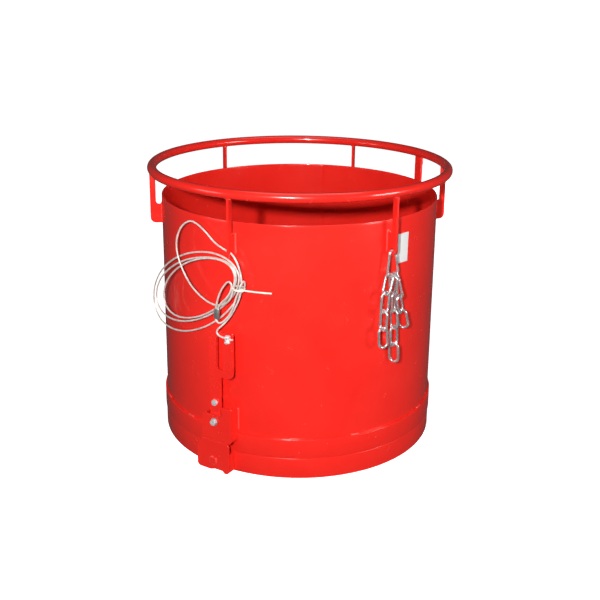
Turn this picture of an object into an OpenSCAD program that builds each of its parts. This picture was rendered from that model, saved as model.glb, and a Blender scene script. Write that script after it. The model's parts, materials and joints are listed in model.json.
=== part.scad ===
// Bottom-discharge steel drum: an open cylindrical drum with a guard ring on six
// plates, a hinged bottom flap, a latch lever with a pull rope, and a hanging chain.
// +Z is up, the origin is the middle of the flap's underside, the latch faces -Y
// and the flap's hinge is at +Y. Angles are counted from -Y towards +X.

/* [Drum] */
// Outer diameter of the rolled shell
shell_d = 650; // [600:5:700]
// Height of the shell's top edge above the floor
drum_h = 577; // [540:1:620]
// Thickness of the shell
sheet = 3; // [2:0.5:4]
// Height of the strengthening band's top edge
band_top = 94; // [85:1:110]
// Thickness of the strengthening band
band_t = 4.5; // [3:0.5:6]

/* [Bottom flap] */
// Height of the flap's rim
rim_h = 48; // [40:1:52]
// Thickness of the flap's bottom plate
flap_t = 4; // [3:0.5:6]
// Diameter of the flap's hinge pin
hinge_pin_d = 12; // [10:1:14]

/* [Guard ring] */
// Diameter of the ring's tube
ring_tube = 21.3; // [18:0.1:24]
// Height of the ring's middle
ring_z = 640; // [632:1:650]
// Thickness of the ring's six plates
plate_t = 5; // [4:0.5:6]

/* [Latch] */
// Thickness of the lever
lever_t = 6; // [5:0.5:6]
// Diameter of the pivot bolt and the stop bolt
bolt_d = 8; // [6:1:8]

/* [Rope and chain] */
// Diameter of the wire rope
rope_d = 4; // [3:0.5:4.5]
// Wire of the chain's links
link_wire = 5.5; // [5:0.5:5.5]

/* [Hidden] */
$fn = 64;
round_fn = 180;
red = [0.85, 0.07, 0.05];
zinc = [0.75, 0.76, 0.78];

shell_r = shell_d / 2;
seat_gap = 1;
shell_z0 = rim_h + seat_gap;
band_r = shell_r + band_t;
rim_r = shell_r + 3;
rim_t = 4;

// guard ring and its plates
ring_tube_r = ring_tube / 2;
ring_r = shell_r + 21;
plate_out = shell_r + 28;
upright_w = 13.5;
slot_w = plate_out - upright_w - shell_r;
foot_z0 = drum_h - 74;
foot_z1 = drum_h - 22;
foot_round = 13;
first_plate = 6.4;
eye_r = 5;
eye_d = shell_r + 16;
eye_z = foot_z0 + 11;
stay_angle = 150;

// latch: depth is the distance in front of the drum's axis
pivot_z = 123;
lever_d0 = shell_r + 16;
lever_d1 = lever_d0 + lever_t;
front_d0 = lever_d1 + 2;
front_d1 = front_d0 + 5;
house_x0 = -33;
house_x1 = 43;
house_z0 = 78;
house_low = 138;
house_top = 161;
house_step = 19;
cheek_t = 4.5;
run_fit = 0.05;
head_x0 = -16;
head_x1 = 46;
head_z0 = 229;
head_z1 = 334;
stop_x = -1.5;
stop_z = 167;

// catch on the flap
catch_d0 = lever_d1 + 1;
catch_d1 = catch_d0 + 4;
catch_x = -6;
catch_z = 26;
catch_pin_r = 6;

// flap hinge
hinge_y = shell_r + 23;
hinge_z = 50;
lug_x = [78, 118];
arm_x = 98;
lug_t = 8;
arm_t = 10;
pin_end = 136;

// wire clamp on the lever
clamp_x = 38;
clamp_z = 325;
clamp_half = 5;

// rope, as [x, depth, z] points through which it runs
rope_r = rope_d / 2;
rope_front = lever_d1 + rope_r + 1;
run_points = [
    [13.6, 349.8, 344.8], [20, 348, 351], [31, 345, 364], [43, 342, 382], [53, 340, 402],
    [61, 339.5, 422], [66, 340, 442], [65, 340, 464], [59, 340, 486], [50, 339.5, 502],
    [40, 339, 512], [33, 339, 515], [22, 340, 519], [0, 340, 529], [-22, 338, 545],
    [-44, 336, 559], [-66, 334, 565], [-87, 332, 556], [-102, 331, 538], [-110, 331, 513],
    [-108, 332, 487], [-98, 334, 463], [-80, 338, 438], [-58, 342, 418], [-32, 345, 403],
    [-8, 346.5, 395], [14, 347, 396], [32, 347.5, 405], [44, 347, 420]
];
end_points = [
    [49, 350, 325], [38, 350, 325], [26, 350, 325.5], [15, 350, 327.5], [9, 350, 332],
    [8.5, 350, 338], [13, 350, 344]
];
eye_points = [
    [66, 350, 440], [60, 351, 424], [53, 350.5, 404], [45, 350, 386], [33, 349.5, 370],
    [19, 350, 358], [9, 350.5, 359], [5.5, 350.8, 370], [7.5, 351.2, 390], [12, 351.6, 408],
    [19, 351.6, 426], [30, 351.6, 444], [41, 351.6, 454], [49, 351.6, 449], [46, 351.6, 434],
    [36, 351.6, 418], [24, 351.6, 406], [13.5, 351.2, 391]
];
coil_bend_r = 522;
coil_t = 12;
coil_mid_x = 20;
coil_out = [-83.5, 400, 149, 94, 54];
coil_in = [-58, 411, 102, 62, 40];

// chain, hung from the plate at chain_angle; x is sideways and z up
chain_angle = first_plate + 60;
link_r = 10.25;
link_straight = 25;
link_pitch = 39.7;
hook_wire = 5.5;
hook_top_r = 8.25;
hook_low_r = 14.25;
hook_span = 38;
hook_z = eye_z - eye_r + hook_wire / 2 + 1.2;
hook_lean = 3;
snap_wire = 5;
snap_top_r = 8;
snap_low_r = 11;
snap_span = 42;
snap_lean = 14;
snap_twist = 84;
// middle of the upper hook's wide bow, as [x, depth, z]
bow = [hook_span * sin(hook_lean), eye_d, hook_z - hook_top_r - hook_span * cos(hook_lean)];
seat_r = hook_low_r - hook_wire / 2 - 0.3;
// where a strand or the lower hook hangs on that bow, at an angle from its lowest point
function seat(angle, wire) = let (r = seat_r - wire / 2)
    bow + [r * sin(angle), 0, -r * cos(angle)];
snap_seat = seat(58, snap_wire);
snap_reach = snap_top_r + snap_span;
snap_low = snap_seat + [snap_reach * sin(snap_lean), 0, -snap_reach * cos(snap_lean)];
link_gap = link_wire + 0.3;
// each link: lean sideways, lean outwards, turn about its length
left_links = [[-18, 5, 86], [-7, 3, -1], [-3, 1, 90], [3, 1, 11]];
middle_links = [[4, 0, 83], [3, 0, -30], [4, 0, 84], [3, -1, -5], [5, -2, 65]];
right_links = [[21, -8, 156], [16, -1, 50]];

// ---- shared shapes

function arc(x, z, r, from, to) = [for (i = [0:12]) let (a = from + (to - from) * i / 12)
    [x + r * cos(a), z + r * sin(a)]];

module front_plate(d0, d1) {
    rotate([90, 0, 0]) translate([0, 0, d0]) linear_extrude(d1 - d0) children();
}

module side_plate(x, thick) {
    translate([x - thick / 2, 0, 0]) rotate([90, 0, 90]) linear_extrude(thick) children();
}

module radial_plate(thick) {
    side_plate(0, thick) mirror([1, 0]) children();
}

module front_rod(x, z, d0, d1, r, sides = 48) {
    translate([x, -d0, z]) rotate([90, 0, 0]) cylinder(h = d1 - d0, r = r, $fn = sides);
}

module round_rect(x0, z0, x1, z1, r) {
    translate([x0 + r, z0]) square([x1 - x0 - 2 * r, z1 - z0]);
    translate([x0, z0 + r]) square([x1 - x0, z1 - z0 - 2 * r]);
    for (x = [x0 + r, x1 - r], z = [z0 + r, z1 - r]) translate([x, z]) circle(r, $fn = 40);
}

module tube(r_out, r_in, z0, z1) {
    difference() {
        translate([0, 0, z0]) cylinder(h = z1 - z0, r = r_out, $fn = round_fn);
        translate([0, 0, z0 - 1]) cylinder(h = z1 - z0 + 2, r = r_in, $fn = round_fn);
    }
}

// everything inside the drum's outer faces, to cut welded pieces to the wall
module drum_core() {
    translate([0, 0, -1]) cylinder(h = drum_h + 2, r = shell_r, $fn = round_fn);
    translate([0, 0, shell_z0]) cylinder(h = band_top - shell_z0, r = band_r, $fn = round_fn);
}

module rim_core() {
    translate([0, 0, -1]) cylinder(h = rim_h + 1, r = rim_r, $fn = round_fn);
}

module hex_rod(x, z, d0, d1, flats) {
    front_rod(x, z, d0, d1, flats / 2 / cos(30), 6);
}

module wire_arc(r, from, to, wire) {
    rotate([0, 0, from]) rotate_extrude(angle = to - from, $fn = 96)
        translate([r, 0]) circle(d = wire, $fn = 24);
}

// straight wire between two bows, a hair thinner and let 0.5 mm into each of them
module wire_bar(p, q, wire) {
    d = q - p;
    translate([p[0], p[1], 0]) rotate([0, 90, atan2(d[1], d[0])]) translate([0, 0, -0.5])
        cylinder(h = norm(d) + 1, d = wire - 0.12, $fn = 24);
}

// ---- round rod swept along a smooth line through points

function bend(a, b, c, d, t) = 0.5 * (2 * b + (c - a) * t + (2 * a - 5 * b + 4 * c - d) * t * t
    + (3 * b - a - 3 * c + d) * t * t * t);
function smooth(p, n) = let (m = len(p) - 1) concat(
    [for (i = [0:m - 1], k = [0:n - 1]) bend(p[max(i - 1, 0)], p[i], p[i + 1],
        p[min(i + 2, m)], k / n)], [p[m]]);
function unit(v) = v / norm(v);
function heading(p, i) = unit(p[min(i + 1, len(p) - 1)] - p[max(i - 1, 0)]);
function rim_point(p, i, r, a) = let (
    t = heading(p, i), s = unit(cross(t, [0, 1, 0.02])), b = cross(t, s))
    p[i] + r * (cos(a) * s + sin(a) * b);

module swept(path, r, sides) {
    n = len(path);
    skin = [for (i = [0:n - 1], k = [0:sides - 1]) rim_point(path, i, r, 360 * k / sides)];
    walls = [for (i = [0:n - 2], k = [0:sides - 1]) let (m = (k + 1) % sides)
        [i * sides + k, i * sides + m, (i + 1) * sides + m, (i + 1) * sides + k]];
    start = [for (k = [sides - 1:-1:0]) k];
    finish = [for (k = [0:sides - 1]) (n - 1) * sides + k];
    polyhedron(concat(skin), concat([start], walls, [finish]), convexity = 10);
}

function in_front(points) = [for (p = points) [p[0], -p[1], p[2]]];

module rope_tube(points, n) {
    color(zinc) swept(smooth(in_front(points), n), rope_r, 8);
}

// ---- drum

module shell() {
    color(red) tube(shell_r, shell_r - sheet, shell_z0, drum_h);
}

module base_band() {
    color(red) tube(band_r, shell_r, shell_z0, band_top);
}

module ring_solid() {
    translate([0, 0, ring_z]) rotate_extrude($fn = round_fn)
        translate([ring_r, 0]) circle(ring_tube_r, $fn = 40);
}

module guard_ring() {
    color(red) ring_solid();
}

module plate_outline(eyed) {
    slot_x = shell_r + slot_w / 2;
    difference() {
        union() {
            translate([shell_r - 4, foot_z0 + foot_round])
                square([plate_out - shell_r + 4, ring_z - foot_z0 - foot_round - 6]);
            translate([shell_r - 4, foot_z0])
                square([plate_out - shell_r + 4 - foot_round, foot_round + 1]);
            translate([plate_out - foot_round, foot_z0 + foot_round]) circle(foot_round);
        }
        translate([slot_x, foot_z1]) circle(slot_w / 2, $fn = 40);
        translate([shell_r - 5, foot_z1]) square([slot_w + 5, ring_z]);
        if (eyed) translate([eye_d, eye_z]) circle(eye_r, $fn = 40);
    }
}

module ring_plate(i) {
    color(red) rotate([0, 0, first_plate + 60 * (i - 1)]) difference() {
        radial_plate(plate_t) plate_outline(i < 3);
        ring_solid();
        drum_core();
    }
}

module ring_stay() {
    bar_w = 24;
    bar_t = 6;
    color(red) rotate([0, 0, stay_angle]) difference() {
        union() {
            translate([-bar_w / 2, -ring_r - bar_t / 2, foot_z0])
                cube([bar_w, bar_t, ring_z - foot_z0 - 7]);
            translate([-bar_w / 2, -ring_r, foot_z0]) cube([bar_w, 30, bar_t]);
        }
        ring_solid();
        drum_core();
    }
}

module label_plate() {
    label_t = 0.4;
    color("white") translate([0, 0, 474]) rotate([0, 0, 71.4 - 90])
        rotate_extrude(angle = 6, $fn = 360) translate([shell_r, 0]) square([label_t, 66]);
}

// ---- latch on the drum

module latch_housing() {
    color(red) difference() {
        union() {
            front_plate(front_d0, front_d1) union() {
                round_rect(house_x0, house_z0, house_x1, house_low, 3);
                round_rect(house_step, house_z0 + 10, house_x1, house_top, 3);
            }
            translate([house_x0, -front_d0, house_z0 + 24])
                cube([cheek_t, 40, house_low - house_z0 - 27]);
            translate([house_x1 - cheek_t, -front_d0, house_z0 + 3])
                cube([cheek_t, 40, house_top - house_z0 - 6]);
        }
        drum_core();
        front_rod(0, pivot_z, front_d0 - 1, front_d1 + 1, bolt_d / 2 + 0.1);
    }
}

module pivot_boss() {
    color(red) difference() {
        front_rod(0, pivot_z, shell_r - 5, lever_d0 - 0.5, 8);
        drum_core();
        front_rod(0, pivot_z, shell_r - 6, lever_d0 + 1, bolt_d / 2 + run_fit);
    }
}

module pivot_bolt() {
    washer_t = 1.6;
    color(zinc) union() {
        front_rod(0, pivot_z, shell_r + 1, front_d1 + washer_t + 1, bolt_d / 2);
        hex_rod(0, pivot_z, front_d1 + washer_t, front_d1 + washer_t + 5.3, 13);
    }
}

module pivot_washer() {
    color(zinc) difference() {
        front_rod(0, pivot_z, front_d1, front_d1 + 1.6, 9);
        front_rod(0, pivot_z, front_d1 - 1, front_d1 + 3, bolt_d / 2 + 0.1);
    }
}

module return_spring() {
    turns = 4;
    steps = 16;
    coil = [for (i = [0:turns * steps]) let (a = 360 * i / steps)
        [10.5 * cos(a), -(shell_r + 3 + 10 * i / turns / steps), pivot_z + 10.5 * sin(a)]];
    color(zinc) spring_wire(coil, 0.8, 6);
}

// as swept, for a path that circles the Y axis
module spring_wire(path, r, sides) {
    n = len(path);
    skin = [for (i = [0:n - 1], k = [0:sides - 1]) let (
        out = unit([path[i][0], 0, path[i][2] - pivot_z]), a = 360 * k / sides)
        path[i] + r * (cos(a) * out + sin(a) * [0, -1, 0])];
    walls = [for (i = [0:n - 2], k = [0:sides - 1]) let (m = (k + 1) % sides)
        [i * sides + k, i * sides + m, (i + 1) * sides + m, (i + 1) * sides + k]];
    start = [for (k = [sides - 1:-1:0]) k];
    finish = [for (k = [0:sides - 1]) (n - 1) * sides + k];
    polyhedron(skin, concat([start], walls, [finish]), convexity = 10);
}

// ---- flap hinge on the drum

module lug_outline() {
    difference() {
        union() {
            translate([hinge_y, hinge_z]) circle(13);
            polygon([[shell_r - 30, shell_z0 + 3], [shell_r - 30, band_top - 2],
                [shell_r - 3, band_top - 2], [hinge_y + 11, hinge_z + 7],
                [hinge_y, hinge_z - 12], [hinge_y - 13, hinge_z - 3]]);
        }
        translate([hinge_y, hinge_z]) circle(hinge_pin_d / 2 + run_fit);
    }
}

module hinge_lugs() {
    color(red) for (x = lug_x, side = [-1, 1]) difference() {
        side_plate(side * x, lug_t) lug_outline();
        drum_core();
    }
}

module hinge_pin() {
    color(zinc) difference() {
        translate([-pin_end, hinge_y, hinge_z]) rotate([0, 90, 0])
            cylinder(h = 2 * pin_end, d = hinge_pin_d);
        for (side = [-1, 1]) translate([side * (pin_end - 6), hinge_y, hinge_z - 10])
            cylinder(h = 20, r = 1.65);
    }
}

module hinge_washers() {
    x0 = lug_x[1] + lug_t / 2 + 0.3;
    color(zinc) for (side = [-1, 1]) mirror([side < 0 ? 1 : 0, 0, 0]) difference() {
        translate([x0, hinge_y, hinge_z]) rotate([0, 90, 0]) cylinder(h = 2.5, r = 12);
        translate([x0 - 1, hinge_y, hinge_z]) rotate([0, 90, 0])
            cylinder(h = 5, r = hinge_pin_d / 2 + 0.1);
    }
}

module hinge_split_pins() {
    color(zinc) for (side = [-1, 1]) translate([side * (pin_end - 6), hinge_y, hinge_z]) {
        translate([0, 0, -11]) cylinder(h = 20, r = 1.5, $fn = 24);
        translate([0, 0, 11.5]) rotate([90, 0, 90]) rotate_extrude($fn = 48)
            translate([3, 0]) circle(1, $fn = 16);
    }
}

// ---- latch lever

module lever_outline() {
    difference() {
        polygon(concat([[-31, 9], [2, 9], [2, 19.4], [-13.2, 19.4], [-13.2, 52], [8, 92], [12.5, 122]],
            arc(18.5, head_z0 - 6, 6, 180, 90), arc(head_x1 - 14, head_z0 + 14, 14, 270, 360),
            arc(head_x1 - 8, head_z1 - 8, 8, 0, 90), arc(head_x0 + 8, head_z1 - 8, 8, 90, 180),
            [[head_x0, head_z0 + 20], [-15, head_z0 + 8], [-15, 100], [-20, 90], [-31, 58]]));
        round_rect(3.5, head_z0 + 17, 20.5, head_z1 - 12, 5);
        translate([0, pivot_z]) circle(bolt_d / 2 + run_fit);
        translate([stop_x, stop_z]) circle(bolt_d / 2);
        for (side = [-1, 1]) translate([clamp_x, clamp_z + side * clamp_half]) circle(2);
    }
}

module lever_plate() {
    color(red) front_plate(lever_d0, lever_d1) lever_outline();
}

module stop_bolt() {
    color(zinc) union() {
        front_rod(stop_x, stop_z, lever_d0 - 10, lever_d1 + 1, bolt_d / 2);
        hex_rod(stop_x, stop_z, lever_d1, lever_d1 + 5.3, 13);
    }
}

module stop_nut() {
    color(zinc) difference() {
        hex_rod(stop_x, stop_z, lever_d0 - 6.5, lever_d0, 13);
        front_rod(stop_x, stop_z, lever_d0 - 8, lever_d0 + 1, bolt_d / 2);
    }
}

module clamp_saddle() {
    z0 = clamp_z;
    saddle_d = rope_front + rope_r;
    color(zinc) difference() {
        front_plate(saddle_d - 2, saddle_d + 4)
            round_rect(clamp_x - 5, z0 - 9, clamp_x + 5, z0 + 9, 2);
        for (side = [-1, 1])
            front_rod(clamp_x, z0 + side * clamp_half, saddle_d - 5, saddle_d + 8, 2);
        translate([clamp_x - 8, -rope_front, clamp_z]) rotate([0, 90, 0])
            cylinder(h = 16, r = rope_r + 0.1, $fn = 32);
    }
}

module clamp_bow() {
    z0 = clamp_z;
    color(zinc) union() {
        for (side = [-1, 1])
            front_rod(clamp_x, z0 + side * clamp_half, lever_d0 - 2, rope_front + 12, 1.95);
        translate([clamp_x, -lever_d0 + 2, z0]) rotate([0, 90, 0])
            rotate_extrude(angle = 180, $fn = 48) translate([clamp_half, 0]) circle(1.95, $fn = 24);
    }
}

module clamp_nuts() {
    z0 = clamp_z;
    d0 = rope_front + rope_r + 4;
    color(zinc) for (side = [-1, 1]) difference() {
        hex_rod(clamp_x, z0 + side * clamp_half, d0, d0 + 3.4, 7);
        front_rod(clamp_x, z0 + side * clamp_half, d0 - 1, d0 + 5, 1.95);
    }
}

// ---- rope

module rope_run() { rope_tube(run_points, 2); }

module rope_end() { rope_tube(end_points, 2); }

module rope_eye() { rope_tube(eye_points, 1); }

module rope_ferrule() {
    color(zinc) translate([8, -351, 368]) rotate([0, 6, 0])
        cylinder(h = 20, r = 4.2, $fn = 40);
}

// slanted oval: [middle x, middle z, half width, half height, slant]
function oval(o, n) = [for (i = [0:n - 1]) let (a = 360 * i / n)
    [o[0] + o[2] * cos(a), o[1] + o[4] * cos(a) + o[3] * sin(a)]];

module rope_coil() {
    axis_y = coil_bend_r - shell_r - 13;
    color(zinc) intersection() {
        front_plate(200, 400) difference() {
            polygon(oval(coil_out, 48));
            polygon(oval(coil_in, 48));
        }
        translate([coil_mid_x, axis_y, 200]) difference() {
            cylinder(h = 400, r = coil_bend_r + coil_t / 2, $fn = round_fn);
            translate([0, 0, -1])
                cylinder(h = 402, r = coil_bend_r - coil_t / 2, $fn = round_fn);
        }
    }
}

module cable_tie() {
    color("ivory") translate([59.5, -341.5, 440]) rotate([0, -8, 0]) union() {
        rotate_extrude($fn = 64) translate([11.3, -2]) square([1.3, 4]);
        translate([12, -3, -3]) cube([6, 6, 6]);
        translate([16, 0.5, -1.6]) rotate([0, 8, 16]) cube([53, 1.3, 3.2]);
    }
}

// ---- bottom flap

module flap_plate() {
    color(red) cylinder(h = flap_t, r = rim_r - rim_t, $fn = round_fn);
}

module flap_rim() {
    color(red) tube(rim_r, rim_r - rim_t, 0, rim_h);
}

module flap_arms() {
    color(red) for (side = [-1, 1]) difference() {
        side_plate(side * arm_x, arm_t) difference() {
            union() {
                translate([hinge_y, hinge_z]) circle(12);
                polygon([[rim_r - 22, 6], [rim_r - 22, 44], [hinge_y - 6, hinge_z + 10],
                    [hinge_y + 11, hinge_z - 5], [rim_r - 4, 6]]);
            }
            translate([hinge_y, hinge_z]) circle(hinge_pin_d / 2 + run_fit);
        }
        rim_core();
        translate([0, 0, rim_h]) cylinder(h = 60, r = band_r + 1, $fn = round_fn);
    }
}

module catch_shelf() {
    color(red) difference() {
        translate([-44, -catch_d0, 3]) cube([78, 40, 4]);
        rim_core();
    }
}

module catch_cheek() {
    color(red) difference() {
        translate([28, -catch_d0, 7]) cube([6, 40, 39]);
        rim_core();
    }
}

module catch_plate() {
    color(red) difference() {
        front_plate(catch_d0, catch_d1) polygon(concat(arc(-40.7, 11, 9, 180, 270),
            [[-14, 2], [-4, 5], [4, 8.5], [14, 8.5]], arc(27.5, 9.6, 9, 190, 360),
            arc(27.5, 67, 9, 0, 90), [[-37, 76], [-49.7, 54]]));
        front_rod(catch_x, catch_z, catch_d0 - 1, catch_d1 + 1, catch_pin_r);
    }
}

module catch_pin() {
    color(red) difference() {
        union() {
            front_rod(catch_x, catch_z, rim_r - 5, catch_d1, catch_pin_r);
            front_rod(catch_x, catch_z, catch_d1, catch_d1 + 3, 8.5);
        }
        rim_core();
    }
}

// ---- chain

// snap hook in the XY plane: small bow at the origin, wide bow span below it; its long
// right side is a gate that turns on a pin near the small bow
function side_point(top_r, low_r, span, part) = let (a = asin((low_r - top_r) / span),
    p = top_r * [cos(a), sin(a)], q = [0, -span] + low_r * [cos(a), sin(a)]) p + part * (q - p);
pivot_part = 0.2;

module snap_body(top_r, low_r, span, wire) {
    a = asin((low_r - top_r) / span);
    pivot = side_point(top_r, low_r, span, pivot_part);
    wire_arc(top_r, a, 180 - a, wire);
    translate([0, -span, 0]) wire_arc(low_r, 180 - a, 360 + a, wire);
    wire_bar(top_r * [-cos(a), sin(a)], [0, -span] + low_r * [-cos(a), sin(a)], wire);
    wire_bar(side_point(top_r, low_r, span, 0.92), side_point(top_r, low_r, span, 1), wire);
    difference() {
        union() {
            wire_bar(side_point(top_r, low_r, span, 0), pivot, wire * 0.62);
            translate([pivot[0], pivot[1], -0.8]) cylinder(h = 1.6, r = 1.9, $fn = 24);
        }
        translate([pivot[0], pivot[1], -3]) cylinder(h = 6, r = 1, $fn = 24);
        for (side = [-1, 1]) translate([pivot[0], pivot[1], side * 2.8 - 2]) cylinder(h = 4, r = 3.2);
    }
}

module snap_pin(top_r, low_r, span, wire) {
    pivot = side_point(top_r, low_r, span, pivot_part);
    translate([pivot[0], pivot[1], -wire / 2 - 0.3]) cylinder(h = wire + 0.6, r = 1, $fn = 24);
}

module snap_gate(top_r, low_r, span, wire) {
    pivot = side_point(top_r, low_r, span, pivot_part);
    difference() {
        union() {
            wire_bar(pivot, side_point(top_r, low_r, span, 0.88), wire * 0.9);
            translate([pivot[0], pivot[1], -wire / 2]) cylinder(h = wire, r = wire * 0.46, $fn = 32);
        }
        translate([pivot[0], pivot[1], -1.05]) cylinder(h = 2.1, r = 3, $fn = 32);
        translate([pivot[0], pivot[1], -wire]) cylinder(h = 2 * wire, r = 1 + run_fit, $fn = 24);
    }
}

module at_hook() {
    rotate([0, 0, chain_angle]) translate([0, -eye_d, hook_z]) rotate([0, -hook_lean, 0])
        translate([0, 0, -hook_top_r]) rotate([90, 0, 0]) children();
}

module at_snap() {
    rotate([0, 0, chain_angle]) translate([snap_seat[0], -snap_seat[1], snap_seat[2]])
        rotate([0, -snap_lean, 0]) rotate([0, 0, -snap_twist])
        translate([0, 0, -snap_top_r]) rotate([90, 0, 0]) children();
}

module upper_hook() {
    color(zinc) at_hook() snap_body(hook_top_r, hook_low_r, hook_span, hook_wire);
}

module upper_hook_pin() {
    color(zinc) at_hook() snap_pin(hook_top_r, hook_low_r, hook_span, hook_wire);
}

module upper_hook_gate() {
    color(zinc) at_hook() snap_gate(hook_top_r, hook_low_r, hook_span, hook_wire);
}

module lower_hook() {
    color(zinc) at_snap() snap_body(snap_top_r, snap_low_r, snap_span, snap_wire);
}

module lower_hook_pin() {
    color(zinc) at_snap() snap_pin(snap_top_r, snap_low_r, snap_span, snap_wire);
}

module lower_hook_gate() {
    color(zinc) at_snap() snap_gate(snap_top_r, snap_low_r, snap_span, snap_wire);
}

module link() {
    half = link_straight / 2;
    translate([0, half, 0]) wire_arc(link_r, 0, 180, link_wire);
    translate([0, -half, 0]) wire_arc(link_r, 180, 360, link_wire);
    for (side = [-1, 1]) wire_bar([side * link_r, -half], [side * link_r, half], link_wire);
}

function way(l) = unit([tan(l[0]), tan(l[1]), -1]);

// a link between each two of a strand's meeting points, from [x, depth, z] down
module strand(links, start, i = 0) {
    if (i < len(links)) {
        finish = start + link_pitch * way(links[i]);
        mid = (start + finish) / 2;
        translate([mid[0], -mid[1], mid[2]]) rotate([-links[i][1], -links[i][0], 0])
            rotate([0, 0, -links[i][2]]) rotate([90, 0, 0]) link();
        strand(links, finish, i + 1);
    }
}

module chain_links() {
    below = [0, 0, -link_gap / 2];
    color(zinc) rotate([0, 0, chain_angle]) {
        strand(left_links, seat(-54, link_wire) + below);
        strand(middle_links, seat(18, link_wire) + below);
        strand(right_links, snap_low + [0, 0, -snap_low_r + snap_wire / 2 + 0.3]);
    }
}

shell();
base_band();
guard_ring();
ring_plate(1);  // ring_plate_1
ring_plate(2);  // ring_plate_2
ring_plate(3);  // ring_plate_3
ring_plate(4);  // ring_plate_4
ring_plate(5);  // ring_plate_5
ring_plate(6);  // ring_plate_6
ring_stay();
latch_housing();
pivot_boss();
pivot_bolt();
pivot_washer();
return_spring();
hinge_lugs();
hinge_pin();
hinge_washers();
hinge_split_pins();
label_plate();
rope_run();
rope_coil();
rope_eye();
rope_ferrule();
cable_tie();
lever_plate();
stop_bolt();
stop_nut();
rope_end();
clamp_saddle();
clamp_bow();
clamp_nuts();
flap_plate();
flap_rim();
flap_arms();
catch_shelf();
catch_cheek();
catch_plate();
catch_pin();
upper_hook();
upper_hook_pin();
upper_hook_gate();
chain_links();
lower_hook();
lower_hook_pin();
lower_hook_gate();
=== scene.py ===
import json
import math
import bmesh
import bpy
from mathutils import Matrix, Vector, noise
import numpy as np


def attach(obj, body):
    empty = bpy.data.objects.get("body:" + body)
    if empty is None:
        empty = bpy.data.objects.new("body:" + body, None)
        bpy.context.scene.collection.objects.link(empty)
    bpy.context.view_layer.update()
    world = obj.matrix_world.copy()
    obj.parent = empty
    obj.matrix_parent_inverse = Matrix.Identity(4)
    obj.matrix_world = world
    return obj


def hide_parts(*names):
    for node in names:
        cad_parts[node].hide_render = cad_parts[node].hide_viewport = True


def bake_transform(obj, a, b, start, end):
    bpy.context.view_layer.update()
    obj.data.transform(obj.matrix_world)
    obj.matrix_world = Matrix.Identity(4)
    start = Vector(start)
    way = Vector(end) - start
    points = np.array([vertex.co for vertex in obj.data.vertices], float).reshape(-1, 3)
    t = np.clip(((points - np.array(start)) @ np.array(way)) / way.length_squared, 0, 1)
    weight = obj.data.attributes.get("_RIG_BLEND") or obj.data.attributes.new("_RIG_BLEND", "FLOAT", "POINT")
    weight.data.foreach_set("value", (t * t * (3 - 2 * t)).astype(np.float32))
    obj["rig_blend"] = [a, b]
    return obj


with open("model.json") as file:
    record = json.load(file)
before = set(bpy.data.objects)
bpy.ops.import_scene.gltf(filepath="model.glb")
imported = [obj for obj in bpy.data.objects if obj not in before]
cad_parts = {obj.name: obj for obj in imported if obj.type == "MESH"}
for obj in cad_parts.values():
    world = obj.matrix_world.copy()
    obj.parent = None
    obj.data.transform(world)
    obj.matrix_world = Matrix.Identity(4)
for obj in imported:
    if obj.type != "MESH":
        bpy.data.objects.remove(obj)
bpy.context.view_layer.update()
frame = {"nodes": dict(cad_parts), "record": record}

mm = 0.001


def turned(angle, radius, z):  # a point by its angle from -Y towards +X, metres
    a = math.radians(angle)
    return Vector((radius * math.sin(a), -radius * math.cos(a), z))


# camera and light
print("camera and light")

cameraSet = {
    "place": (1.0922, -1.8177, 1.0624),
    "heading": 30.9413,  # degrees, anticlockwise from +Y
    "down": 16.014,
    "roll": 0.6388,
    "lens": 54.73,
    "shift": (0.0, -0.1),
}


def makeCamera(s):
    a, p, r = (math.radians(s[k]) for k in ("heading", "down", "roll"))
    right = Vector((math.cos(a), math.sin(a), 0))
    ahead = Vector((-math.sin(a) * math.cos(p), math.cos(a) * math.cos(p), -math.sin(p)))
    up = right.cross(ahead)
    right, up = math.cos(r) * right + math.sin(r) * up, math.cos(r) * up - math.sin(r) * right
    data = bpy.data.cameras.new("camera")
    data.lens, data.sensor_width = s["lens"], 36
    data.shift_x, data.shift_y = s["shift"]
    cam = bpy.data.objects.new("camera", data)
    bpy.context.collection.objects.link(cam)
    turn = Matrix((right, up, -ahead)).transposed().to_4x4()
    cam.matrix_world = Matrix.Translation(s["place"]) @ turn
    bpy.context.scene.camera = cam


makeCamera(cameraSet)

lightSet = {
    "key": {"at": (0.86, -1.93, 1.15), "size": 0.06, "power": 50, "color": (1, 0.98, 0.95)},
    "leftBox": {"at": (-1.5, -2.3, 0.75), "size": 0.9, "power": 8, "color": (0.96, 0.98, 1)},
    "rightBox": {"at": (2.8, 0.1, 0.75), "size": 0.9, "power": 34, "color": (1, 0.98, 0.96)},
    "backBox": {"at": (-0.9, 2.7, 0.9), "size": 1.2, "power": 22, "color": (1, 1, 1)},
    "overhead": {"at": (0.1, 0.1, 2.9), "size": 1.8, "power": 12, "color": (1, 1, 1)},
    "sky": 0.06,
}


def makeLights(s):
    for name, box in s.items():
        if name == "sky":
            continue
        data = bpy.data.lights.new(name, "AREA")
        data.energy, data.size, data.color = box["power"], box["size"], box["color"]
        lamp = bpy.data.objects.new(name, data)
        lamp.location = box["at"]
        lamp.visible_glossy = name != "backBox"
        lamp.visible_diffuse = name != "overhead"
        toDrum = Vector((0, 0, 0.32)) - lamp.location
        lamp.rotation_euler = toDrum.to_track_quat("-Z", "Y").to_euler()
        bpy.context.collection.objects.link(lamp)
    world = bpy.data.worlds.new("studioAir")
    world.use_nodes = True
    world.node_tree.nodes["Background"].inputs["Color"].default_value = (1, 1, 1, 1)
    world.node_tree.nodes["Background"].inputs["Strength"].default_value = s["sky"]
    bpy.context.scene.world = world
    bpy.context.scene.view_settings.view_transform = "Standard"  # keeps the enamel's full red


makeLights(lightSet)

# finishes, all made of nodes in object space
print("finishes")


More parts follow.
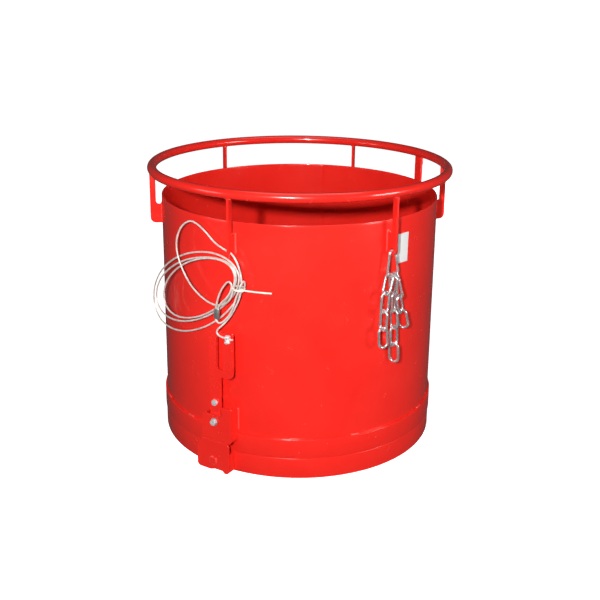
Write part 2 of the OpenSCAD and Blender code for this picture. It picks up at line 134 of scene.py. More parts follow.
def newFinish(name):
    m = bpy.data.materials.new(name)
    m.use_nodes = True
    tree = m.node_tree
    return m, tree, tree.nodes["Principled BSDF"]


def objectSpace(tree):
    return tree.nodes.new("ShaderNodeTexCoord").outputs["Object"]


def noiseNode(tree, where, scale, detail=3.0, rough=0.5, stretch=None):
    n = tree.nodes.new("ShaderNodeTexNoise")
    n.inputs["Scale"].default_value = scale
    n.inputs["Detail"].default_value = detail
    n.inputs["Roughness"].default_value = rough
    if stretch:
        scaled = tree.nodes.new("ShaderNodeMapping")
        scaled.inputs["Scale"].default_value = stretch
        tree.links.new(where, scaled.inputs["Vector"])
        where = scaled.outputs["Vector"]
    tree.links.new(where, n.inputs["Vector"])
    return n.outputs["Fac"]


def mixNode(tree, fac, a, b):
    m = tree.nodes.new("ShaderNodeMix")
    m.data_type = "RGBA"
    for socket, value in ((m.inputs[0], fac), (m.inputs[6], a), (m.inputs[7], b)):
        if isinstance(value, (int, float)):
            socket.default_value = value
        elif isinstance(value, tuple):
            socket.default_value = (*value, 1)
        else:
            tree.links.new(value, socket)
    return m.outputs[2]


def mapNode(tree, fac, low, high, start=0.0, end=1.0):
    m = tree.nodes.new("ShaderNodeMapRange")
    for k, v in zip(("From Min", "From Max", "To Min", "To Max"), (start, end, low, high)):
        m.inputs[k].default_value = v
    tree.links.new(fac, m.inputs["Value"])
    return m.outputs["Result"]


def bumpNode(tree, height, strength, distance, after=None):
    b = tree.nodes.new("ShaderNodeBump")
    b.inputs["Strength"].default_value = strength
    b.inputs["Distance"].default_value = distance
    tree.links.new(height, b.inputs["Height"])
    if after:
        tree.links.new(after, b.inputs["Normal"])
    return b.outputs["Normal"]


paintSet = {
    "color": (0.88, 0.024, 0.016),
    "deep": (0.82, 0.018, 0.012),
    "scuff": (0.84, 0.04, 0.03),
    "dust": (0.80, 0.06, 0.045),
    "rough": (0.17, 0.30),
    "coat": 0.42,
    "peel": 0.10,
}


def makePaint(name, s, wear=1.0):
    m, tree, shader = newFinish(name)
    where = objectSpace(tree)
    clouds = noiseNode(tree, where, 7, 4, 0.6)
    grime = noiseNode(tree, where, 34, 5, 0.65)
    peel = noiseNode(tree, where, 420, 2, 0.4)
    waves = noiseNode(tree, where, 16, 2, 0.4, (1, 1, 0.45))
    lines = noiseNode(tree, where, 60, 6, 0.7, (1, 1, 9))
    color = mixNode(tree, mapNode(tree, clouds, 0, 1, 0.35, 0.7), s["color"], s["deep"])
    scuffed = mapNode(tree, lines, 0, 0.3 * wear, 0.73, 0.80)
    color = mixNode(tree, scuffed, color, s["scuff"])
    dusty = mapNode(tree, grime, 0, 0.16 * wear, 0.62, 0.80)
    color = mixNode(tree, dusty, color, s["dust"])
    edges = tree.nodes.new("ShaderNodeNewGeometry").outputs["Pointiness"]
    chipped = tree.nodes.new("ShaderNodeMath")
    chipped.operation = "MULTIPLY"
    tree.links.new(mapNode(tree, edges, 0, 0.5 * wear, 0.60, 0.70), chipped.inputs[0])
    tree.links.new(mapNode(tree, grime, 0, 1, 0.5, 0.62), chipped.inputs[1])
    color = mixNode(tree, chipped.outputs[0], color, (0.42, 0.03, 0.02))
    tree.links.new(color, shader.inputs["Base Color"])
    tree.links.new(mapNode(tree, grime, *s["rough"], 0.35, 0.75), shader.inputs["Roughness"])
    shader.inputs["Coat Weight"].default_value = s["coat"]
    shader.inputs["Coat Roughness"].default_value = 0.08
    shader.inputs["Specular IOR Level"].default_value = 0.5
    rolled = bumpNode(tree, waves, 0.2, 0.0008)
    skin = bumpNode(tree, peel, s["peel"], 0.0004, rolled)
    tree.links.new(skin, shader.inputs["Normal"])
    return m


def makeMetal(name, bright, dark, rough, grain=260, bump=0.12, metallic=1.0):
    m, tree, shader = newFinish(name)
    where = objectSpace(tree)
    patches = noiseNode(tree, where, 90, 4, 0.6)
    fine = noiseNode(tree, where, grain, 3, 0.6)
    color = mixNode(tree, mapNode(tree, patches, 0, 1, 0.35, 0.68), bright, dark)
    # painted shade: the metal's colour is darkened in its hollows, where pointiness is low
    edges = tree.nodes.new("ShaderNodeNewGeometry").outputs["Pointiness"]
    hollowShade = mapNode(tree, edges, 0.55, 0, 0.40, 0.49)
    color = mixNode(tree, hollowShade, color, tuple(0.35 * c for c in dark))
    tree.links.new(color, shader.inputs["Base Color"])
    tree.links.new(mapNode(tree, fine, rough[0], rough[1], 0.3, 0.7), shader.inputs["Roughness"])
    shader.inputs["Metallic"].default_value = metallic
    tree.links.new(bumpNode(tree, fine, bump, 0.0004), shader.inputs["Normal"])
    return m


def makePlain(name, color, second, rough, grain, bump, subsurface=0.0):
    m, tree, shader = newFinish(name)
    where = objectSpace(tree)
    soft = noiseNode(tree, where, grain * 0.2, 3, 0.5)
    fine = noiseNode(tree, where, grain, 3, 0.6)
    mixed = mixNode(tree, mapNode(tree, soft, 0, 1, 0.4, 0.65), color, second)
    tree.links.new(mixed, shader.inputs["Base Color"])
    tree.links.new(mapNode(tree, fine, rough[0], rough[1], 0.3, 0.7), shader.inputs["Roughness"])
    shader.inputs["Subsurface Weight"].default_value = subsurface
    shader.inputs["Subsurface Radius"].default_value = (0.002, 0.002, 0.0015)
    tree.links.new(bumpNode(tree, fine, bump, 0.0005), shader.inputs["Normal"])
    return m


redPaint = makePaint("redPaint", paintSet)
# painted highlight: the weld beads get a paler red than the body paint so they look lit
beadHighlightPaint = makePaint("beadHighlightPaint", {**paintSet, "color": (0.9, 0.075, 0.06), "deep": (0.86, 0.05, 0.04)})
wornPaint = makePaint("wornPaint", {**paintSet, "coat": 0.3, "rough": (0.2, 0.34)}, 1.25)
zincPlate = makeMetal("zincPlate", (0.96, 0.96, 0.97), (0.62, 0.63, 0.64), (0.22, 0.36), metallic=0.45)
zincChain = makeMetal("zincChain", (0.95, 0.95, 0.96), (0.5, 0.5, 0.53), (0.16, 0.3), 180, 0.25, 0.75)
wireRope = makeMetal("wireRope", (0.90, 0.87, 0.83), (0.58, 0.55, 0.52), (0.34, 0.5), 700, 0.3, 0.25)
zincDull = makeMetal("zincDull", (0.52, 0.52, 0.53), (0.3, 0.3, 0.31), (0.3, 0.45), metallic=0.6)
springSteel = makeMetal("springSteel", (0.22, 0.22, 0.23), (0.1, 0.1, 0.11), (0.3, 0.5))
pressedSleeve = makeMetal("pressedSleeve", (0.66, 0.66, 0.65), (0.45, 0.45, 0.44), (0.35, 0.55))
tieNylon = makePlain("tieNylon", (0.86, 0.85, 0.78), (0.78, 0.76, 0.68), (0.35, 0.5), 300, 0.1, 0.25)
labelFilm = makePlain("labelFilm", (0.74, 0.74, 0.75), (0.68, 0.68, 0.70), (0.3, 0.5), 60, 0.25)
paleFloor = makePlain("paleFloor", (0.9, 0.9, 0.9), (0.88, 0.88, 0.88), (0.55, 0.7), 4, 0.02)
glow = paleFloor.node_tree.nodes["Principled BSDF"].inputs
glow["Emission Color"].default_value = (1, 1, 1, 1)
glow["Emission Strength"].default_value = 1.0

# shared shapes


def addMesh(name, verts, faces, finish, smooth=True):
    mesh = bpy.data.meshes.new(name)
    mesh.from_pydata([tuple(v) for v in verts], [], faces)
    mesh.validate()
    obj = bpy.data.objects.new(name, mesh)
    bpy.context.collection.objects.link(obj)
    mesh.materials.append(finish)
    bm = bmesh.new()
    bm.from_mesh(mesh)
    bmesh.ops.recalc_face_normals(bm, faces=bm.faces)
    for f in bm.faces:
        f.smooth = smooth
    bm.to_mesh(mesh)
    bm.free()
    return obj


def applyModifiers(obj):
    bpy.context.view_layer.update()
    solid = bpy.data.meshes.new_from_object(
        obj.evaluated_get(bpy.context.evaluated_depsgraph_get()))
    obj.modifiers.clear()
    obj.data = solid
    return obj


def spline(points, n):  # smooth line through the points
    p = [Vector(q) for q in points]
    out = []
    for i in range(len(p) - 1):
        a, b, c, d = p[max(i - 1, 0)], p[i], p[i + 1], p[min(i + 2, len(p) - 1)]
        for k in range(n):
            t = k / n
            out.append(0.5 * (2 * b + (c - a) * t + (2 * a - 5 * b + 4 * c - d) * t * t
                              + (3 * b - a - 3 * c + d) * t ** 3))
    return out + [p[-1]]


def evenly(line, step):  # the same line with points a step apart
    out, run = [line[0].copy()], 0.0
    for a, b in zip(line, line[1:]):
        gap = (b - a).length
        while run + gap >= step:
            a = a.lerp(b, (step - run) / gap)
            out.append(a.copy())
            gap, run = (b - a).length, 0.0
        run += gap
    if (out[-1] - line[-1]).length > step * 0.3:
        out.append(line[-1].copy())
    return out


def lengthOf(line):
    return sum((b - a).length for a, b in zip(line, line[1:]))


def sweep(line, sides, radiusAt, closed=False):  # radiusAt(ring, distance, angle)
    n, verts, faces, run = len(line), [], [], 0.0
    side = None
    for i, p in enumerate(line):
        before = line[i - 1] if (i or closed) else p
        after = line[(i + 1) % n] if (i < n - 1 or closed) else p
        t = (after - before).normalized()
        if side is None:
            side = t.cross(Vector((0.13, 0.97, 0.21))).normalized()
        side = (side - t * side.dot(t)).normalized()
        other = t.cross(side)
        if i:
            run += (p - line[i - 1]).length
        for k in range(sides):
            a = math.tau * k / sides
            r = radiusAt(i, run, a)
            verts.append(p + r * (math.cos(a) * side + math.sin(a) * other))
    for i in range(n if closed else n - 1):
        j = (i + 1) % n
        for k in range(sides):
            m = (k + 1) % sides
            faces.append((i * sides + k, i * sides + m, j * sides + m, j * sides + k))
    if not closed:
        faces.append(tuple(range(sides))[::-1])
        faces.append(tuple((n - 1) * sides + k for k in range(sides)))
    return verts, faces


# wire rope, sleeve and cable tie
print("wire rope")

ropeSet = {
    "thick": 4.0,  # mm, as all of these
    "strands": 6,
    "lay": 26,
    "step": 2.6,
    "lead": [
        (49, 350, 325), (38, 350, 325), (26, 350, 325.5), (15, 350, 327.5), (9, 350, 332),
        (8.5, 350, 338), (13, 350, 344), (20, 348, 351), (31, 345, 364), (43, 342, 382),
        (53, 340, 402), (61, 339.5, 422), (66, 340, 442),
    ],
    "run": [
        (66, 340, 442), (65, 340, 464), (59, 340, 486), (50, 339.5, 502), (40, 339, 512),
        (33, 339, 515), (22, 340, 519), (0, 340, 529), (-22, 338, 545), (-44, 336, 559),
        (-66, 334, 565), (-87, 332, 556), (-102, 331, 538), (-110, 331, 513), (-108, 332, 487),
        (-98, 334, 463), (-80, 338, 438), (-58, 342, 418), (-32, 345, 403), (-8, 346.5, 395),
        (14, 347, 396), (32, 347.5, 405), (44, 347, 420),
    ],
    # each loop: middle x and z, half width, half height, slant, layer
    "loops": [(-58, 416, 111.5, 65, 45, 4.6), (-75, 408, 132, 71, 50, 0),
              (-83.5, 399, 143.5, 89.5, 53, -4.6)],
    "turnBack": [(63, 332, 434), (69, 332.8, 445), (71, 336, 453.5), (71.3, 342, 457.5),
                 (71, 348, 453.5), (69, 351, 446)],
    "tail": [
        (66, 350.5, 438), (60, 351, 424), (53, 350.5, 404), (45, 350, 386), (33, 349.5, 370),
        (19, 350, 358), (9, 350.5, 359), (5.5, 350.8, 370), (7.5, 351.2, 390), (12, 351.6, 408),
        (19, 351.6, 426), (30, 351.6, 444), (41, 351.6, 454), (49, 351.6, 449), (46, 351.6, 434),
        (36, 351.6, 418), (24, 351.6, 406), (13.5, 351.2, 391), (12, 351, 376),
    ],
}


def fromDepth(points):  # [x, depth in front of the axis, z] in mm to the frame
    return [Vector((x * mm, -d * mm, z * mm)) for x, d, z in points]


def loopRoute(s):
    out, turn = [], 15
    loops = s["loops"]
    for i, loop in enumerate(loops):
        for a in range(-12 if i == 0 else 0, 345 if i == 2 else 360, turn):
            before = loops[max(i - 1, 0)] if i else (*loop[:5], 9.2)
            t = min(max(a / 60, 0), 1)
            t = t * t * (3 - 2 * t)
            x0, z0, w, h, slant, layer = (p + (q - p) * t for p, q in zip(before, loop))
            c, v = math.cos(math.radians(a)), math.sin(math.radians(a))
            x, z = x0 + w * c, z0 + slant * c + h * v
            out.append((x, 338 + layer - (x - 20) ** 2 / 1044, z))
    return out


def makeRope(name, line, s):
    r, lay = s["thick"] / 2 * mm, s["lay"] * mm
    half = s["strands"] / 2

    def strand(i, run, a):
        twist = math.tau * run / lay
        return r * (0.83 + 0.17 * abs(math.cos(half * (a - twist))))

    verts, faces = sweep(line, 24, strand)
    obj = addMesh(name, verts, faces, wireRope)
    return obj


step = ropeSet["step"] * mm
leadLine = evenly(spline(fromDepth(ropeSet["lead"]), 10), step)
restLine = evenly(spline(fromDepth(
    ropeSet["run"] + loopRoute(ropeSet) + ropeSet["turnBack"] + ropeSet["tail"]), 10), step)
ropeLead = makeRope("ropeLead", leadLine, ropeSet)
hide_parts("rope_end")
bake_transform(ropeLead, "drum", "latch_lever", start=(0.03, -0.345, 0.402), end=(0.03, -0.345, 0.346))
ropeRest = makeRope("ropeRest", restLine, ropeSet)
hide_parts("rope_run", "rope_coil", "rope_eye")
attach(ropeRest, "drum")
print("rope lengths", round(lengthOf(leadLine), 3), round(lengthOf(restLine), 3))

sleeveSet = {
    "low": (8.2, 350.9, 366), "high": (10.6, 351.1, 388.5), "half": (6.4, 3.7),
    "rings": 22, "sides": 40,
}


def makeSleeve(s):
    low, high = fromDepth([s["low"], s["high"]])
    along = (high - low).normalized()
    deep = Vector((0, 1, 0))
    wide = along.cross(deep).normalized()
    rings, sides, verts, faces = s["rings"], s["sides"], [], []
    for i in range(rings):
        t = i / (rings - 1)
        rim = min(t, 1 - t) * (high - low).length / mm
        full = math.sqrt(1 - (1 - min(rim / 1.1, 1)) ** 2) * 0.14 + 0.86
        pressed = 1 - 0.06 * max(0, math.sin(math.pi * (t * 3 % 1))) ** 2
        for k in range(sides):
            a = math.tau * k / sides
            c, v = math.cos(a), math.sin(a)
            c, v = (math.copysign(abs(q) ** 0.8, q) for q in (c, v))
            verts.append(low.lerp(high, t) + full * mm * (
                s["half"][0] * c * wide + pressed * s["half"][1] * v * deep))
    for i in range(rings - 1):
        for k in range(sides):
            m = (k + 1) % sides
            faces.append((i * sides + k, i * sides + m, (i + 1) * sides + m, (i + 1) * sides + k))
    faces += [tuple(range(sides))[::-1], tuple((rings - 1) * sides + k for k in range(sides))]
    obj = addMesh("sleeve", verts, faces, pressedSleeve)
    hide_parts("rope_ferrule")
    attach(obj, "drum")
    return obj


sleeve = makeSleeve(sleeveSet)

tieSet = {
    "middle": (60, 341.8, 440), "half": (13.6, 12.8), "wide": 4.2, "thick": 1.1,
    "tail": [(70, 345.5, 440), (76, 345, 439.6), (92, 340, 438.6), (112, 332.5, 437.8),
             (131, 324.5, 437.4)],
    "head": (71, 347, 439.6), "headSize": (7.2 * mm, 5.6 * mm, 7.2 * mm), "headRound": 1.1 * mm,
}


def ribbon(name, line, wide, thick, finish, closed=False, teeth=0.0):
    n, verts, faces = len(line), [], []
    for i, p in enumerate(line):
        before = line[i - 1] if (i or closed) else p
        after = line[(i + 1) % n] if (i < n - 1 or closed) else p
        t = (after - before).normalized()
        up = Vector((0.12, 0, 1))
        up = (up - t * up.dot(t)).normalized()
        out = t.cross(up)
        bite = teeth if i % 2 else 0
        for u, o in ((-1, -1), (-0.82, -1.25), (0.82, -1.25), (1, -1), (1, 1), (0.82, 1.25),
                     (-0.82, 1.25), (-1, 1)):
            lift = bite if o < 0 and abs(u) < 0.9 else 0
            verts.append(p + up * u * wide / 2 + out * (o * thick / 2.5 + lift))
    for i in range(n if closed else n - 1):
        j = (i + 1) % n
        for k in range(8):
            m = (k + 1) % 8
            faces.append((i * 8 + k, i * 8 + m, j * 8 + m, j * 8 + k))
    if not closed:
        faces += [tuple(range(8))[::-1], tuple((n - 1) * 8 + k for k in range(8))]
    return addMesh(name, verts, faces, finish)


def makeTie(s):
    x, d, z = s["middle"]
    hoop = [(x + s["half"][0] * math.cos(a), d - s["half"][1] * math.sin(a),
             z - 0.12 * s["half"][0] * math.cos(a))
            for a in (math.tau * k / 64 for k in range(64))]
    band = ribbon("tieHoop", fromDepth(hoop), s["wide"] * mm, s["thick"] * mm, tieNylon, True)
    tail = ribbon("tieTail", evenly(spline(fromDepth(s["tail"]), 12), 0.9 * mm),
                  s["wide"] * 0.85 * mm, s["thick"] * mm, tieNylon, False, 0.35 * mm)
    bm = bmesh.new()
    bmesh.ops.create_cube(bm, size=1)
    bmesh.ops.scale(bm, verts=bm.verts, vec=s["headSize"])
    bmesh.ops.bevel(bm, geom=bm.edges[:], offset=s["headRound"], segments=3, affect="EDGES")
    bmesh.ops.translate(bm, verts=bm.verts, vec=fromDepth([s["head"]])[0])
    mesh = bpy.data.meshes.new("tieHead")
    bm.to_mesh(mesh)
    bm.free()
    head = bpy.data.objects.new("tieHead", mesh)
    bpy.context.collection.objects.link(head)
    mesh.materials.append(tieNylon)
    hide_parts("cable_tie")
    for part in (band, tail, head):
        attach(part, "drum")
    return band, tail, head


tieParts = makeTie(tieSet)

# rolled shell, strengthening band, flap rim and guard ring
print("drum")

drumSet = {
    "radius": 0.325, "sheet": 0.003, "low": 0.049, "high": 0.577,
    "around": 720, "up": 66,
    "plates": [6.4 + 60 * k for k in range(6)],
    "pull": 0.0009,  # how far welding has drawn the wall in
    "seam": 200,
    # each dent: angle, height, depth in mm, width
    "dents": [(58, 0.47, 1.1, 0.016), (60, 0.43, 0.9, 0.012), (57, 0.395, 0.7, 0.014),
              (101, 0.30, 0.7, 0.03), (240, 0.35, 1.2, 0.035), (305, 0.22, 0.9, 0.02)],
    "stay": 150,
}


def wallPush(angle, z, s):  # small dents and pulls of the wall, outwards
    push = 0.00035 * noise.noise(Vector((math.sin(math.radians(angle)) * 2.2,
                                         math.cos(math.radians(angle)) * 2.2, z * 5)))
    for plate in s["plates"] + [s["stay"]]:
        da = (angle - plate + 180) % 360 - 180
        across = math.radians(da) * s["radius"]
        for dz, deep in ((0.507, 1.0), (0.548, 0.8)):
            push -= s["pull"] * deep * math.exp(-(across / 0.011) ** 2 - ((z - dz) / 0.014) ** 2)
        push += 0.0005 * math.exp(-(across / 0.03) ** 2 - ((z - 0.527) / 0.05) ** 2)
    for a, dz, deep, wide in s["dents"]:
        da = (angle - a + 180) % 360 - 180
        across = math.radians(da) * s["radius"]
        push -= deep * mm * 0.8 * math.exp(-(across / wide) ** 2 - ((z - dz) / (wide * 1.3)) ** 2)
    da = (angle - s["seam"] + 180) % 360 - 180
    across = math.radians(da) * s["radius"]
    ripple = 0.75 + 0.25 * math.sin(z * 2400)
    return push + 0.0011 * ripple * math.exp(-(across / 0.0032) ** 2)


def makeDrum(s):
    levels = [s["low"] + (s["high"] - s["low"]) * k / s["up"] for k in range(s["up"] + 1)]
    lip, half = s["high"] - s["sheet"] / 2, s["sheet"] / 2
    outer = [(s["radius"], z) for z in levels if z < lip]
    rim = [(s["radius"] - half + half * math.cos(a), lip + half * math.sin(a))
           for a in (math.pi * k / 8 for k in range(9))]
    profile = outer + rim + [(s["radius"] - s["sheet"], z) for _, z in outer[::-1]]
    verts, faces, n, m = [], [], s["around"], len(profile)
    for i in range(n):
        angle = 360 * i / n
        for r, z in profile:
            fade = min(1, (z - s["low"]) / 0.04)
            verts.append(turned(angle, r + fade * wallPush(angle, z, s), z))
    for i in range(n):
        j = (i + 1) % n
        for k in range(m):
            q = (k + 1) % m
            faces.append((i * m + k, i * m + q, j * m + q, j * m + k))
    obj = addMesh("drumWall", verts, faces, redPaint)
    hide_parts("shell")
    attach(obj, "drum")


makeDrum(drumSet)


def makeHoop(name, node, body, profile, around=360, wobble=0.0003):
    verts, faces, m = [], [], len(profile)
    for i in range(around):
        angle = 360 * i / around
        a = math.radians(angle)
        push = wobble * noise.noise(Vector((math.sin(a) * 3, math.cos(a) * 3, len(name))))
        verts += [turned(angle, r + push, z) for r, z in profile]
    for i in range(around):
        j = (i + 1) % around
        for k in range(m):
            q = (k + 1) % m
            faces.append((i * m + k, i * m + q, j * m + q, j * m + k))
    obj = addMesh(name, verts, faces, redPaint)
    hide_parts(node)
    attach(obj, body)


def roundedBox(s):  # profile of a band with rounded corners
    c = s["round"]
    left, right, low, high = s["inner"] + c, s["outer"] - c, s["low"] + c, s["high"] - c
    corners = ((right, low, -90), (right, high, 0), (left, high, 90), (left, low, 180))
    turns = [(r, z, math.radians(a + k * 22.5)) for r, z, a in corners for k in range(5)]
    return [(r + c * math.cos(t), z + c * math.sin(t)) for r, z, t in turns]


bandSet = {"inner": 0.3246, "outer": 0.3295, "low": 0.049, "high": 0.094, "round": 0.0011}
rimSet = {"inner": 0.324, "outer": 0.328, "low": 0.0, "high": 0.048, "round": 0.0012}
ringSet = {"middle": 0.346, "tube": 0.01065, "height": 0.640, "sides": 40, "around": 480, "wobble": 0.0005}


def tubeRound(s):  # profile of the ring's tube
    turns = [math.tau * k / s["sides"] for k in range(s["sides"])]
    return [(s["middle"] + s["tube"] * math.cos(t), s["height"] + s["tube"] * math.sin(t)) for t in turns]


makeHoop("baseBand", "base_band", "drum", roundedBox(bandSet))
makeHoop("flapRim", "flap_rim", "flap", roundedBox(rimSet))
makeHoop("guardRing", "guard_ring", "drum", tubeRound(ringSet), ringSet["around"], ringSet["wobble"])

# flat plates and fasteners, and the nodes that keep their own shape
print("plates and fittings")

nodeBody = {n: b for b, ns in frame["record"]["behaviour"]["bodies"].items() for n in ns}
softenSet = {
    "paint": ["ring_plate_%d" % k for k in range(1, 7)] + [
        "ring_stay", "latch_housing", "hinge_lugs", "lever_plate", "flap_arms", "catch_shelf",
        "catch_cheek", "catch_plate", "catch_pin", "pivot_boss", "flap_plate"],
    "zinc": ["pivot_bolt", "pivot_washer", "stop_bolt", "stop_nut", "clamp_saddle", "clamp_nuts",
             "hinge_washers"],
    "width": {"paint": 0.7 * mm, "zinc": 0.25 * mm},
    "wide": {"catch_pin": 1.3 * mm, "pivot_bolt": 0.6 * mm, "stop_bolt": 0.6 * mm},
    "finish": {"lever_plate": wornPaint, "catch_pin": wornPaint, "pivot_washer": zincDull},
    "merge": 1e-5,
    "flat": 1,  # degrees below which neighbours are one face
    "sharp": 38,  # degrees above which an edge is eased
}


def soften(node, width, finish):  # the node's own shape, with its sharp edges eased
    mesh = frame["nodes"][node].data.copy()
    mesh.name = node + "Eased"
    obj = bpy.data.objects.new(node + "Eased", mesh)
    bpy.context.collection.objects.link(obj)
    bm = bmesh.new()
    bm.from_mesh(mesh)
    bmesh.ops.remove_doubles(bm, verts=bm.verts, dist=softenSet["merge"])
    bmesh.ops.dissolve_limit(bm, angle_limit=math.radians(softenSet["flat"]), verts=bm.verts, edges=bm.edges)
    bm.to_mesh(mesh)
    bm.free()
    for name in [a.name for a in mesh.attributes if "normal" in a.name]:
        mesh.attributes.remove(mesh.attributes[name])
    mesh.materials.clear()
    mesh.materials.append(finish)
    ease = obj.modifiers.new("ease", "BEVEL")
    ease.width, ease.segments = width, 3
    ease.limit_method, ease.angle_limit = "ANGLE", math.radians(softenSet["sharp"])
    ease.harden_normals = False
    applyModifiers(obj)
    for f in obj.data.polygons:
        f.use_smooth = True
    weigh = obj.modifiers.new("weigh", "WEIGHTED_NORMAL")
    weigh.keep_sharp = False
    applyModifiers(obj)
    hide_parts(node)
    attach(obj, nodeBody[node])


for kind, finish, slotName in (("paint", redPaint, "red_paint"), ("zinc", zincPlate, "zinc_fastener")):
    for node in softenSet[kind]:
        width = softenSet["wide"].get(node, softenSet["width"][kind])
        soften(node, width, softenSet["finish"].get(node, finish))

keptSet = {
    "hinge_pin": zincPlate, "hinge_split_pins": zincPlate, "clamp_bow": zincPlate,
    "return_spring": springSteel, "upper_hook": zincChain, "upper_hook_pin": zincPlate,
    "upper_hook_gate": zincChain, "chain_links": zincChain, "lower_hook": zincChain,
    "lower_hook_pin": zincPlate, "lower_hook_gate": zincChain,
}
for node, finish in keptSet.items():
    obj = frame["nodes"][node]
    obj.data.materials.clear()
    obj.data.materials.append(finish)

# blank label, a little lifted at one corner
labelSet = {
    "from": 71.4, "to": 77.4,  # degrees
    "low": 0.474, "high": 0.540, "inner": 0.3251, "thick": 0.0004,
    "curl": 0.0009, "crease": 0.00012,
    "across": 24, "up": 44,
}


def makeLabel(s):
    nu, nv, verts, faces = s["across"], s["up"], [], []
    for layer in (0, 1):
        for i in range(nu + 1):
            for j in range(nv + 1):
                u, v = i / nu, j / nv
                angle = s["from"] + (s["to"] - s["from"]) * u
                z = s["low"] + (s["high"] - s["low"]) * v
                curl = s["curl"] * max(0, (u - 0.86) / 0.14) ** 2 * max(0, (v - 0.7) / 0.3)
                crease = s["crease"] * noise.noise(Vector((u * 5, v * 11, 3)))
                r = s["inner"] + wallPush(angle, z, drumSet) + (s["thick"] + curl + crease) * layer
                verts.append(turned(angle, r, z))
    row, side = nv + 1, (nu + 1) * (nv + 1)
    for i in range(nu):
        for j in range(nv):
            q = [i * row + j, (i + 1) * row + j, (i + 1) * row + j + 1, i * row + j + 1]
            faces += [tuple(q), tuple(side + k for k in q[::-1])]
    loop = list(range(nv)) + [i * row + nv for i in range(nu)]
    loop += [nu * row + j for j in range(nv, 0, -1)] + [i * row for i in range(nu, 0, -1)]
    for a, b in zip(loop, loop[1:] + loop[:1]):
        faces.append((a, b, side + b, side + a))
    obj = addMesh("blankLabel", verts, faces, labelFilm)
    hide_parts("label_plate")
    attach(obj, "drum")


makeLabel(labelSet)

# weld beads, laid along runs of points
print("welds")

weldSet = {
    "size": 2.3 * mm, "step": 0.55 * mm, "sides": 12,
    # up each side of a plate's foot, and across where the plate holds the ring
    "foot": {"side": 3.1 * mm, "radius": 0.3254, "low": 0.507, "high": 0.553},
    "saddle": {"side": 3.2 * mm, "run": [(0.3405, 0.6305), (0.346, 0.6288), (0.352, 0.6305)]},
    "stay": {"side": 13 * mm, "radius": 0.3470, "low": 0.610, "high": 0.630},
    "stayFoot": {"half": 1.8, "radius": 0.3255, "z": 0.5105},
    "band": {"angles": [-17, 30, 54, 91.5, 124, 158, 192, 226, 260, 294, 322],
             "long": 0.020, "radius": 0.33, "on": 0.3268, "z": 0.0952},
    # beside the latch, x and z in mm
    "tacks": {"at": [(-28, 137), (40.5, 158), (40.5, 104)], "long": 3, "depth": 347.5},
    "pinEnd": {"x": -6, "z": 26, "reach": 8.6, "depth": 352.2, "steps": 20},
    "drip": [(-20, 324.7, 311), (-20.5, 324.7, 305), (-25, 324.7, 301)],
    "housing": {"x": [(-33.6, 0.134), (43.6, 0.155)], "radius": 0.3298, "on": 0.3253, "low": 0.103},
    # at the flap's hinge and on its rim, x in mm
    "lugs": {"x": [73.4, 82.6, 113.4, 122.6, -73.4, -82.6, -113.4, -122.6],
             "radius": 0.3297, "on": 0.3300, "low": 0.055, "high": 0.090},
    "shelf": {"from": -7.5, "to": 5.8, "radius": 0.3286, "z": 0.0080},
    "arms": {"x": [92.4, 103.6, -92.4, -103.6],
             "radius": 0.3284, "on": 0.3284, "low": 0.010, "high": 0.042},
}
weldLines = {"drum": [], "flap": []}


def sideways(angle, offset):
    a = math.radians(angle)
    return Vector((math.cos(a), math.sin(a), 0)) * offset


def vertical(angle, offset, radius, z0, z1, body="drum"):
    across = sideways(angle, offset)
    weldLines[body].append([turned(angle, radius, z0) + across, turned(angle, radius, z1) + across])


def lying(angle0, angle1, radius, z, body="drum"):
    n = max(3, int(abs(angle1 - angle0)))
    weldLines[body].append([turned(angle0 + (angle1 - angle0) * k / n, radius, z) for k in range(n + 1)])


def angleOf(x, radius):  # where a line x mm from the middle meets the wall
    return math.degrees(math.asin(x * mm / radius))


def plateWelds(foot, saddle):
    for plate in drumSet["plates"]:
        for side in (-1, 1):
            vertical(plate, side * foot["side"], foot["radius"], foot["low"], foot["high"])
            across = sideways(plate, side * saddle["side"])
            weldLines["drum"].append([turned(plate, r, z) + across for r, z in saddle["run"]])


def stayWelds(post, foot):
    for side in (-1, 1):
        vertical(drumSet["stay"], side * post["side"], post["radius"], post["low"], post["high"])
    lying(drumSet["stay"] - foot["half"], drumSet["stay"] + foot["half"], foot["radius"], foot["z"])


def bandWelds(s):
    wide = math.degrees(s["long"] / s["radius"]) / 2
    for angle in s["angles"]:
        lying(angle - wide, angle + wide, s["on"], s["z"])


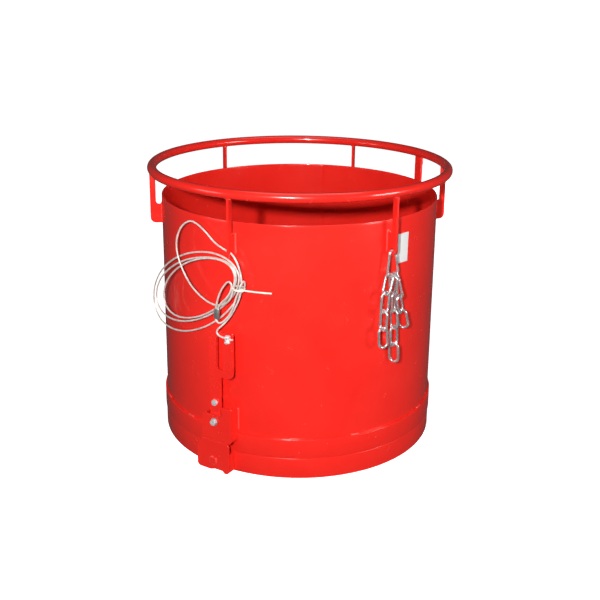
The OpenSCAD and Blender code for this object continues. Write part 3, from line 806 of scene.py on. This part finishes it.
def latchWelds(tacks, pin, drip, housing):
    for x, z in tacks["at"]:
        ends = [(x, tacks["depth"], z), (x + tacks["long"], tacks["depth"], z)]
        weldLines["drum"].append(fromDepth(ends))
    turns = [math.tau * (k + 4) / pin["steps"] for k in range(pin["steps"])]
    weldLines["flap"].append(fromDepth([
        (pin["x"] + pin["reach"] * math.cos(t), pin["depth"], pin["z"] + pin["reach"] * math.sin(t))
        for t in turns]))
    weldLines["drum"].append(fromDepth(drip))
    for x, high in housing["x"]:
        vertical(angleOf(x, housing["radius"]), 0, housing["on"], housing["low"], high)


def hingeWelds(s, body):
    for x in s["x"]:
        vertical(180 - angleOf(x, s["radius"]), 0, s["on"], s["low"], s["high"], body)


plateWelds(weldSet["foot"], weldSet["saddle"])
stayWelds(weldSet["stay"], weldSet["stayFoot"])
bandWelds(weldSet["band"])
latchWelds(weldSet["tacks"], weldSet["pinEnd"], weldSet["drip"], weldSet["housing"])
hingeWelds(weldSet["lugs"], "drum")
lying(weldSet["shelf"]["from"], weldSet["shelf"]["to"], weldSet["shelf"]["radius"],
      weldSet["shelf"]["z"], "flap")
hingeWelds(weldSet["arms"], "flap")


def makeWelds(body, lines, s):
    verts, faces, size, step = [], [], s["size"], s["step"]
    for i, points in enumerate(lines):
        line = evenly(spline(points, 6), step)
        total = len(line)

        def bead(k, run, a, total=total, i=i):
            end = min(k, total - 1 - k) * step / size
            fade = math.sqrt(max(0.05, 1 - max(0, 1 - end) ** 2))
            wave = 0.88 + 0.12 * abs(math.sin(run * 1250 + i))
            return size * fade * wave * (1 + 0.12 * noise.noise(Vector((run * 160, i * 3.1, a))))

        v, f = sweep(line, s["sides"], bead)
        faces += [tuple(len(verts) + q for q in face) for face in f]
        verts += v
    obj = addMesh(body + "Welds", verts, faces, beadHighlightPaint)
    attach(obj, body)


for body, lines in weldLines.items():
    makeWelds(body, lines, weldSet)

# floor and backdrop
floorSet = {"half": 30.0, "drop": 0.0003, "wall": 45.0}


def makeFloor(s):
    h, z = s["half"], -s["drop"]
    w = s["wall"]
    corners = [(-h, -h), (h, -h), (h, h), (-h, h)]
    floor = addMesh("floor", [(x, y, z) for x, y in corners] + [(x, y, w) for x, y in corners],
                    [(0, 1, 2, 3), (0, 1, 5, 4), (1, 2, 6, 5), (2, 3, 7, 6), (3, 0, 4, 7)],
                    paleFloor, False)
    floor.visible_glossy = floor.visible_diffuse = False  # a bright sheet in a dim studio


makeFloor(floorSet)

print("done")
